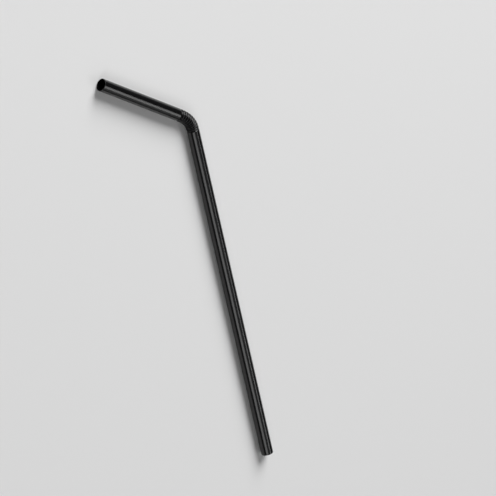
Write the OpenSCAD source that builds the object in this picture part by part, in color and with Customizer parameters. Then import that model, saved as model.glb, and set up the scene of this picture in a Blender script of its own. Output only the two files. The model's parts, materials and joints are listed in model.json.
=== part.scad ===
// Flexible drinking straw: one extruded tube with a folded section near the mouth end.
// It lies on its side, bent, with the long leg along Y and the short leg turned towards -X.

/* [Tube] */
// Outside diameter of the plain tube
outer_d = 6; // [5:0.1:8]
// Thickness of the wall, the same in the legs and in the folds
wall = 0.2; // [0.15:0.01:0.25]
// Length of the plain leg that stands in the drink
long_leg = 175; // [80:1:220]
// Length of the plain leg that one drinks from
short_leg = 50; // [15:1:90]

/* [Folded section] */
// Number of grooves pressed into the tube
groove_count = 10; // [8:1:14]
// Angle by which the short leg is bent away from the long leg
bend_angle = 50; // [0:1:60]
// Distance between ridges beside the short leg, where the folds are pulled open
open_pitch = 1.65; // [1.4:0.05:1.9]
// Distance between ridges beside the long leg, where the folds are still shut
shut_pitch = 1.05; // [1:0.05:1.4]
// Depth of the grooves below the plain tube
groove_depth = 0.5; // [0.3:0.05:0.6]
// Height of the ridges above the plain tube
ridge_rise = 0.05; // [0.02:0.01:0.1]

/* [Hidden] */

tube_r = outer_d / 2;
bore_r = tube_r - wall;

// The folds are drawn along the middle of their wall, and get half of it on each side
wall_mid_r = tube_r - wall / 2;
ridge_mid_r = wall_mid_r + ridge_rise;
groove_mid_r = wall_mid_r - groove_depth;
// Width of the flat top of each ridge, and of the flat bottom of each groove
ridge_land = 0.32;
groove_land = wall;
// How far the two edges of a ridge's top fan out in the bend, as a share of the fold's turn
ridge_fan = 0.12;
// Where a groove lies between its two ridges, as a share of their distance
groove_share = 0.4;
// How much of that share is lost inside the bend for each degree that the fold turns:
// the groove tucks back under the edge of the ridge behind it. The first one stays clear of the
// long leg's bore.
tuck_per_degree = 0.03;
first_inside = 0.3;
// The folds beside the long leg turn more than those beside the short leg. At 1 both turn alike.
turn_skew = 0.6;
// The folds end in a thinner sleeve inside the wall of each leg
sleeve = 0.6;
sleeve_skin = 0.03;
// How far the bore's cutter reaches past the ends of a leg
cut_past = 1;

leg_sides = 96;
fold_sides = 32;
around = [for (i = [0 : fold_sides - 1]) 360 * i / fold_sides];

// Ridge 0 is the shoulder of the long leg, and the last one is the shoulder of the short leg
function pitch(k) = shut_pitch + (open_pitch - shut_pitch) * (k - 1) / (groove_count - 1);
function turn_weight(k) = sin(180 * pow(k / (groove_count + 1), turn_skew));
function sum(v) = v * [for (x = v) 1];
turn_unit = bend_angle / sum([for (k = [1 : groove_count]) turn_weight(k)]);

// Direction of the tube at a heading, and the direction out through its wall
function forward(heading) = [-sin(heading), cos(heading), 0];
function outward(heading, angle) =
    [cos(heading) * cos(angle), sin(heading) * cos(angle), sin(angle)];

function turn(k) = turn_unit * turn_weight(k);
function heading(k) = k == 0 ? 0 : heading(k - 1) + turn(k);
function centre(k) = k == 0 ? [0, 0, 0]
    : centre(k - 1) + pitch(k) * forward((heading(k - 1) + heading(k)) / 2);
headings = [for (k = [0 : groove_count]) heading(k)];
centres = [for (k = [0 : groove_count]) centre(k)];

// A ring of points round the tube, and the rings of a leg's shoulder, of ridge k and of the
// groove behind it
function ring(centre, heading, r) = [for (a = around) centre + r * outward(heading, a)];
function shoulder_ring(k, shift) =
    ring(centres[k] + shift * forward(headings[k]), headings[k], wall_mid_r);
function ridge_ring(k, side) =
    ring(centres[k] + side * ridge_land / 2 * forward(headings[k]),
         headings[k] + side * ridge_fan * turn(k), ridge_mid_r);
function groove_ring(k, shift) =
    let (spread = groove_mid_r * sin(turn(k)))
    let (outside = groove_share * (pitch(k) + spread))
    let (tucked = (groove_share - tuck_per_degree * turn(k)) * (pitch(k) - spread))
    let (inside = k == 1 ? max(tucked, first_inside) : tucked)
    let (raked = headings[k - 1] + atan((outside - inside) / 2 / groove_mid_r))
    let (middle = centres[k - 1] + (outside + inside) / 2 * forward(headings[k - 1]))
    ring(middle + shift * forward(raked), raked, groove_mid_r);

last = groove_count;
rings = concat(
    [shoulder_ring(0, -sleeve), shoulder_ring(0, 0)],
    [for (k = [1 : last]) each concat(
        [groove_ring(k, -groove_land / 2), groove_ring(k, groove_land / 2)],
        k == last ? [] : [ridge_ring(k, -1), ridge_ring(k, 1)])],
    [shoulder_ring(last, 0), shoulder_ring(last, sleeve)]);
top = len(rings) - 1;

// Half of the wall at ring j: thinner in the sleeves, so that they stay inside the legs
function half_wall(j) = j < 2 || j > top - 2 ? wall / 2 - sleeve_skin : wall / 2;

// Direction out through the wall between rings j and j + 1, at point i, and at ring j itself
function unit(v) = v / norm(v);
function square_to(j, i) =
    let (next = (i + 1) % fold_sides)
    let (before = (i + fold_sides - 1) % fold_sides)
    let (along = rings[j + 1][i] - rings[j][i])
    unit(cross(along, rings[j][next] - rings[j][before] + rings[j + 1][next] - rings[j + 1][before]));
function mitre(j, i) =
    let (below = square_to(max(j - 1, 0), i))
    let (above = square_to(min(j, top - 1), i))
    (below + above) / (1 + below * above);
function skin(side) =
    [for (j = [0 : top]) for (i = [0 : fold_sides - 1])
        rings[j][i] + side * half_wall(j) * mitre(j, i)];
outer_skin = skin(1);

// Two triangles for each cell of a skin, wound to face outwards or inwards, and for each end
function cell(a, b, c, d) = [[a, b, c], [a, c, d]];
outer_faces = [for (j = [0 : top - 1]) for (i = [0 : fold_sides - 1])
    let (next = (i + 1) % fold_sides)
    let (below = j * fold_sides)
    let (above = below + fold_sides)
    each cell(below + i, below + next, above + next, above + i)];
inner_start = (top + 1) * fold_sides;
inner_faces = [for (face = outer_faces) [face[2], face[1], face[0]] + inner_start * [1, 1, 1]];
top_start = top * fold_sides;
end_faces = [for (i = [0 : fold_sides - 1])
    let (next = (i + 1) % fold_sides)
    each concat(
        cell(next, i, inner_start + i, inner_start + next),
        cell(top_start + i, top_start + next,
             inner_start + top_start + next, inner_start + top_start + i))];

// Centre of the footprint, so that the straw lies on the ground over its origin
mouth = centres[last] + short_leg * forward(bend_angle);
x_min = mouth[0] - tube_r * cos(bend_angle);
x_max = max([for (point = outer_skin) point[0]]);
y_min = -long_leg;
y_max = mouth[1] + tube_r * sin(bend_angle);
footprint = [(x_min + x_max) / 2, (y_min + y_max) / 2, 0];
axis_height = tube_r + ridge_rise;

module leg(length) {
    rotate([-90, 0, 0])
        difference() {
            cylinder(h = length, r = tube_r, $fn = leg_sides);
            translate([0, 0, -cut_past])
                cylinder(h = length + 2 * cut_past, r = bore_r, $fn = leg_sides);
        }
}

module folds() {
    polyhedron(
        points = concat(outer_skin, skin(-1)),
        faces = concat(outer_faces, inner_faces, end_faces));
}

module straw() {
    color("#1c1c1e")
        translate([0, 0, axis_height] - footprint)
            union() {
                translate([0, y_min, 0])
                    leg(long_leg);
                folds();
                translate(centres[last])
                    rotate([0, 0, bend_angle])
                        leg(short_leg);
            }
}

straw();
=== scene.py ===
import json
from collections import namedtuple
from math import atan, cos, degrees, pi, radians, sin

import bmesh
import bpy
from mathutils import Matrix, Vector


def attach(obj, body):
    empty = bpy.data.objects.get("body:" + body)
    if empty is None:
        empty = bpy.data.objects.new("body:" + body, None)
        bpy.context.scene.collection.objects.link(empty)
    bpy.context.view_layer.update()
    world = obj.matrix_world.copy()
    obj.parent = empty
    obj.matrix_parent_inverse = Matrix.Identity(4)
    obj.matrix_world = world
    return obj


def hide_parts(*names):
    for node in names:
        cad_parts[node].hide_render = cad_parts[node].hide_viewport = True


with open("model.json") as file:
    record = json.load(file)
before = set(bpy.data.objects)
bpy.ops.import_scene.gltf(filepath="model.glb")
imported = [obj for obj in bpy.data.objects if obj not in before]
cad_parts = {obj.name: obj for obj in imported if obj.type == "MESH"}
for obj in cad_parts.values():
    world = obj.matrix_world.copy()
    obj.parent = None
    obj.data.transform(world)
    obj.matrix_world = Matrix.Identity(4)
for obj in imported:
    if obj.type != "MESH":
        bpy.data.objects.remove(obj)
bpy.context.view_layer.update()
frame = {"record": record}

# The straw is one tube of black polypropylene, extruded with a thin wall and cut square at both
# ends. It is drawn here by rings along the middle of its wall. The sizes and places of its two
# plain legs are those that the frame's mounts give.
MM = 0.001
mounts = {mount["name"]: mount for mount in frame["record"]["mounts"]}
tube_r = mounts["long_leg"]["dims"]["r_mm"] * MM
wall = tube_r - mounts["foot_bore"]["dims"]["r_mm"] * MM
wall_mid_r = tube_r - wall / 2
long_leg = mounts["foot_bore"]["dims"]["length_mm"] * MM
short_leg = mounts["mouth_bore"]["dims"]["length_mm"] * MM
foot = Vector(mounts["foot_bore"]["pos_m"])
bend = Vector((0, 1, 0)).angle(Vector(mounts["mouth_bore"]["axis"]))
end_margins = (0.15 * MM, 0.5 * MM)
Ring = namedtuple("Ring", "centre heading radius")


def forward(heading):
    """Direction of the tube where it has turned by heading from the long leg towards -X."""
    return Vector((-sin(heading), cos(heading), 0))


def leg_rings(end, heading, length):
    """Rings of a plain leg, from its cut end up to its shoulder, which is the first ring of the
    folds. Those close to either end keep all between them straight when the tube is softened."""
    near_end = [margin / abs(length) for margin in end_margins]
    near_shoulder = [1 - share for share in reversed(near_end)]
    return [
        Ring(end + share * length * forward(heading), heading, wall_mid_r)
        for share in (0, *near_end, *near_shoulder)]


# The folded section is pressed into the same tube. Each groove has a short flank towards the foot
# and a long one towards the mouth. Bending pulls the folds open outside the bend, and inside it
# each groove tucks back under the ridge behind it.
groove_count = 10
shut_pitch = 1.05 * MM
open_pitch = 1.65 * MM
ridge_rise = 0.05 * MM
groove_depth = 0.5 * MM
ridge_mid_r = wall_mid_r + ridge_rise
groove_mid_r = wall_mid_r - groove_depth
ridge_land = 0.32 * MM
groove_land = wall
# How far the two edges of a ridge's top fan out in the bend, as a share of the fold's turn
ridge_fan = 0.12
# Where a groove lies between its two ridges, as a share of their distance
groove_share = 0.4
# How much of that share is lost inside the bend for each degree that the fold turns. The first
# groove stays clear of the long leg's bore.
tuck_per_degree = 0.03
first_inside = 0.3 * MM
# The folds beside the long leg turn more than those beside the short leg. At 1 both turn alike.
turn_skew = 0.6


def land_rings(centre, heading, radius, land, fan=0.0):
    """The two rings at the edges of the land on a ridge or in a groove."""
    return [
        Ring(centre + side * land / 2 * forward(heading), heading + side * fan, radius)
        for side in (-1, 1)]


turn_weights = [sin(pi * (k / (groove_count + 1)) ** turn_skew) for k in range(1, groove_count + 1)]
ridge = foot + long_leg * forward(0)
heading = 0.0
fold_rings = [Ring(ridge, heading, wall_mid_r)]
for k, weight in enumerate(turn_weights):
    pitch = shut_pitch + (open_pitch - shut_pitch) * k / (groove_count - 1)
    turn = bend * weight / sum(turn_weights)
    # The turn pulls the ridges this much apart outside the bend, and pushes them together inside
    spread = groove_mid_r * sin(turn)
    outside = groove_share * (pitch + spread)
    inside = (groove_share - tuck_per_degree * degrees(turn)) * (pitch - spread)
    if k == 0:
        inside = max(inside, first_inside)
    rake = atan((outside - inside) / 2 / groove_mid_r)
    groove = ridge + (outside + inside) / 2 * forward(heading)
    fold_rings += land_rings(groove, heading + rake, groove_mid_r, groove_land)
    ridge = ridge + pitch * forward(heading + turn / 2)
    heading += turn
    if k < groove_count - 1:
        fold_rings += land_rings(ridge, heading, ridge_mid_r, ridge_land, ridge_fan * turn)
fold_rings.append(Ring(ridge, heading, wall_mid_r))
mouth = ridge + short_leg * forward(bend)
straw_rings = leg_rings(foot, 0, long_leg) + fold_rings + leg_rings(mouth, bend, -short_leg)[::-1]

# The tube is one circle, extruded from ring to ring along the whole straw. Each point keeps its
# place on the tube before it was folded, and how far out on a ridge it is. Then the wall gets its
# thickness, and its folds and rims are softened as the warm plastic leaves them.
straw_sides = 48
# How crisp the cut rims stay, from 0 to 1, and how often each face is divided to soften the rest
rim_crispness = 0.85
softening = 2


def ring_place(centre, heading, radius):
    """Takes a flat circle of radius 1 to its ring, square to the tube."""
    square = Matrix.Rotation(heading, 4, "Z") @ Matrix.Rotation(-pi / 2, 4, "X")
    return Matrix.Translation(centre) @ square @ Matrix.Scale(radius, 4)


tube = bmesh.new()
unfolded_layer = tube.verts.layers.float_vector.new("unfolded")
crest_layer = tube.verts.layers.float.new("crest")
bmesh.ops.create_circle(tube, segments=straw_sides, radius=1)
for vert in tube.verts:
    vert[unfolded_layer] = tube_r * vert.co
place = ring_place(*straw_rings[0])
bmesh.ops.transform(tube, matrix=place, verts=tube.verts)
edges = list(tube.edges)
along = 0.0
for ring_before, ring in zip(straw_rings, straw_rings[1:]):
    grown = bmesh.ops.extrude_edge_only(tube, edges=edges)["geom"]
    verts = [item for item in grown if isinstance(item, bmesh.types.BMVert)]
    edges = [item for item in grown if isinstance(item, bmesh.types.BMEdge) and item.is_boundary]
    next_place = ring_place(*ring)
    bmesh.ops.transform(tube, matrix=next_place @ place.inverted(), verts=verts)
    place = next_place
    along += (ring.centre - ring_before.centre).length
    for vert in verts:
        vert[unfolded_layer] = (*vert[unfolded_layer].xy, along)
        vert[crest_layer] = (ring.radius - wall_mid_r) / (ridge_mid_r - wall_mid_r)
bmesh.ops.recalc_face_normals(tube, faces=tube.faces)
for face in tube.faces:
    face.smooth = True
straw_mesh = bpy.data.meshes.new("straw_tube")
tube.to_mesh(straw_mesh)
tube.free()
straw = bpy.data.objects.new("straw_tube", straw_mesh)
bpy.context.collection.objects.link(straw)

thickness = straw.modifiers.new("wall", "SOLIDIFY")
thickness.thickness = wall
thickness.offset = 0
thickness.use_even_offset = True
thickness.edge_crease_rim = rim_crispness
thickness.edge_crease_outer = rim_crispness
thickness.edge_crease_inner = rim_crispness
softened = straw.modifiers.new("softened", "SUBSURF")
softened.levels = softening
softened.render_levels = softening
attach(straw, "root")
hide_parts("straw")

# Black polypropylene as it leaves the die has a satin gloss, with fine lines drawn along the tube
# and a slightly uneven sheen. The ridges are stretched thin, so they are more matt. Their paler
# colour is partly that stretched plastic and partly a painted highlight on the ridges.
deep_black = (0.0023, 0.0023, 0.0025, 1)
# Paler black of the ridge tops: partly stretched plastic, partly a painted highlight
stretched_and_painted_highlight_black = (0.012, 0.012, 0.013, 1)
line_scale = (5500, 5500, 28)
line_depth = 0.004 * MM
line_strength = 0.25
line_tint = 0.1
sheen_scale = (260, 260, 55)
refraction = 1.49
# Roughness of the plain gloss, and what the lines, the sheen and the stretching add to it
gloss = 0.16
line_matt = 0.06
sheen_matt = 0.06
stretched_matt = 0.08
# Share of a ridge's rise at which the plastic is fully stretched and the painted highlight on the
# ridge is at its full paleness
full_stretch_and_painted_highlight = 0.5


class Socket:
    """One output in a material's nodes. Sums and products of it add Math nodes."""

    def __init__(self, tree, output=None):
        self.tree = tree
        self.output = output

    def node(self, kind, settings, inputs, output=0):
        """A new node, from its type, its settings and the values or links of its sockets."""
        made = self.tree.nodes.new(kind)
        for name, setting in settings.items():
            setattr(made, name, setting)
        for name, value in inputs.items():
            if isinstance(value, Socket):
                self.tree.links.new(value.output, made.inputs[name])
            else:
                made.inputs[name].default_value = value
        return Socket(self.tree, made.outputs[output]) if made.outputs else None

    def math(self, operation, other):
        return self.node("ShaderNodeMath", {"operation": operation}, {0: self, 1: other})

    def __add__(self, other):
        return self.math("ADD", other)

    __radd__ = __add__

    def __mul__(self, other):
        return self.math("MULTIPLY", other)

    __rmul__ = __mul__


plastic = bpy.data.materials.new("black_polypropylene")
plastic.use_nodes = True
plastic.node_tree.nodes.clear()
nodes = Socket(plastic.node_tree)
surface = nodes.node("ShaderNodeAttribute", {"attribute_name": "unfolded"}, {}, "Vector")
drawn = nodes.node("ShaderNodeMapping", {}, {"Vector": surface, "Scale": line_scale})
lines = nodes.node("ShaderNodeTexNoise", {}, {"Vector": drawn, "Scale": 1, "Detail": 3})
soft = nodes.node("ShaderNodeMapping", {}, {"Vector": surface, "Scale": sheen_scale})
sheen = nodes.node("ShaderNodeTexNoise", {}, {"Vector": soft, "Scale": 1, "Detail": 2})
bump = nodes.node(
    "ShaderNodeBump", {}, {"Height": lines, "Strength": line_strength, "Distance": line_depth})
crest = nodes.node("ShaderNodeAttribute", {"attribute_name": "crest"}, {}, "Fac")
# How far up a ridge a point is. The paler colour it gives is partly stretched plastic and partly a
# painted highlight. The roughness it adds comes from the stretching alone.
stretch_and_painted_highlight = nodes.node(
    "ShaderNodeMapRange", {"interpolation_type": "SMOOTHSTEP"},
    {"Value": crest, "From Min": 0, "From Max": full_stretch_and_painted_highlight})
first_colour, second_colour, mixed_colour = 6, 7, 2
colour = nodes.node(
    "ShaderNodeMix", {"data_type": "RGBA"},
    {"Factor": stretch_and_painted_highlight + line_tint * lines,
     first_colour: deep_black, second_colour: stretched_and_painted_highlight_black},
    mixed_colour)
shader = nodes.node(
    "ShaderNodeBsdfPrincipled", {},
    {"Base Color": colour, "IOR": refraction, "Normal": bump,
     "Roughness": gloss + line_matt * lines + sheen_matt * sheen + stretched_matt * stretch_and_painted_highlight})
nodes.node("ShaderNodeOutputMaterial", {}, {"Surface": shader})
straw_mesh.materials.append(plastic)

# The floor is one large plain pale sheet, just under the straw. It is matt, so that it shows the
# straw's shadow and no reflection.
floor_half = 3.0
floor_colour = (0.78, 0.78, 0.78, 1)
floor_roughness = 0.9
floor_gloss = 0.2
sheet = bmesh.new()
bmesh.ops.create_grid(sheet, x_segments=1, y_segments=1, size=floor_half)
floor_mesh = bpy.data.meshes.new("floor")
sheet.to_mesh(floor_mesh)
sheet.free()
floor = bpy.data.objects.new("floor", floor_mesh)
bpy.context.collection.objects.link(floor)
pale_floor = bpy.data.materials.new("pale_floor")
pale_floor.use_nodes = True
floor_sockets = pale_floor.node_tree.nodes["Principled BSDF"].inputs
floor_sockets["Base Color"].default_value = floor_colour
floor_sockets["Roughness"].default_value = floor_roughness
floor_sockets["Specular IOR Level"].default_value = floor_gloss
floor_mesh.materials.append(pale_floor)

# The studio is dim, with soft boxes a few metres off. One box draws the long highlight on each
# leg, and two weak ones light their edges. A large one on the far side lights the floor.
studio_level = 0.04
box_distance = 3.0
world = bpy.data.worlds.new("studio")
bpy.context.scene.world = world
world.use_nodes = True
world.node_tree.nodes["Background"].inputs["Color"].default_value = (1, 1, 1, 1)
world.node_tree.nodes["Background"].inputs["Strength"].default_value = studio_level


def soft_box(name, direction, width, length, radiance, roll=0):
    """An oval lamp that faces the straw from a direction, turned about that direction by roll."""
    lamp = bpy.data.lights.new(name, "AREA")
    lamp.shape = "ELLIPSE"
    lamp.size = width
    lamp.size_y = length
    lamp.energy = radiance * pi * (pi / 4 * width * length)
    box = bpy.data.objects.new(name, lamp)
    bpy.context.collection.objects.link(box)
    towards = Vector(direction).normalized()
    facing = towards.to_track_quat("Z", "Y").to_matrix().to_4x4()
    turned = Matrix.Rotation(radians(roll), 4, "Z")
    box.matrix_world = Matrix.Translation(box_distance * towards) @ facing @ turned


soft_box("long_leg_light", (-0.535, -0.432, 0.726), width=1.25, length=1.8, radiance=2.95, roll=-30)
soft_box("short_leg_light", (0.40, -0.547, 0.735), width=0.5, length=1.75, radiance=4.25, roll=-70)
soft_box("overhead_light", (-0.02, -0.42, 0.905), width=1.6, length=1.0, radiance=0.26)
soft_box("low_light", (0.13, -0.87, 0.46), width=1.4, length=1.4, radiance=0.5)
soft_box("floor_light", (0.42, 0.72, 0.55), width=2.2, length=2.2, radiance=9.8)

# The camera looks down on the straw where it lies, over its mouth, with a long lens. It is
# rolled, so that the long leg hangs down in the picture as it does in the photograph.
aim = Vector((38.2, -5.36, 3.05)) * MM
camera_distance = 1777.6 * MM
camera_azimuth = radians(-127.5)
camera_elevation = radians(46.44)
camera_roll = radians(106.32)
back = Vector((
    sin(camera_azimuth) * cos(camera_elevation),
    -cos(camera_azimuth) * cos(camera_elevation),
    sin(camera_elevation)))
camera_data = bpy.data.cameras.new("camera")
camera_data.sensor_width = 36
camera_data.lens = 269.9
camera_data.clip_start = 0.05
camera_data.clip_end = 20
camera = bpy.data.objects.new("camera", camera_data)
bpy.context.collection.objects.link(camera)
upright = back.to_track_quat("Z", "Y").to_matrix().to_4x4()
rolled = Matrix.Rotation(camera_roll, 4, "Z")
camera.matrix_world = Matrix.Translation(aim + camera_distance * back) @ upright @ rolled
bpy.context.scene.camera = camera
bpy.context.scene.view_settings.view_transform = "Standard"
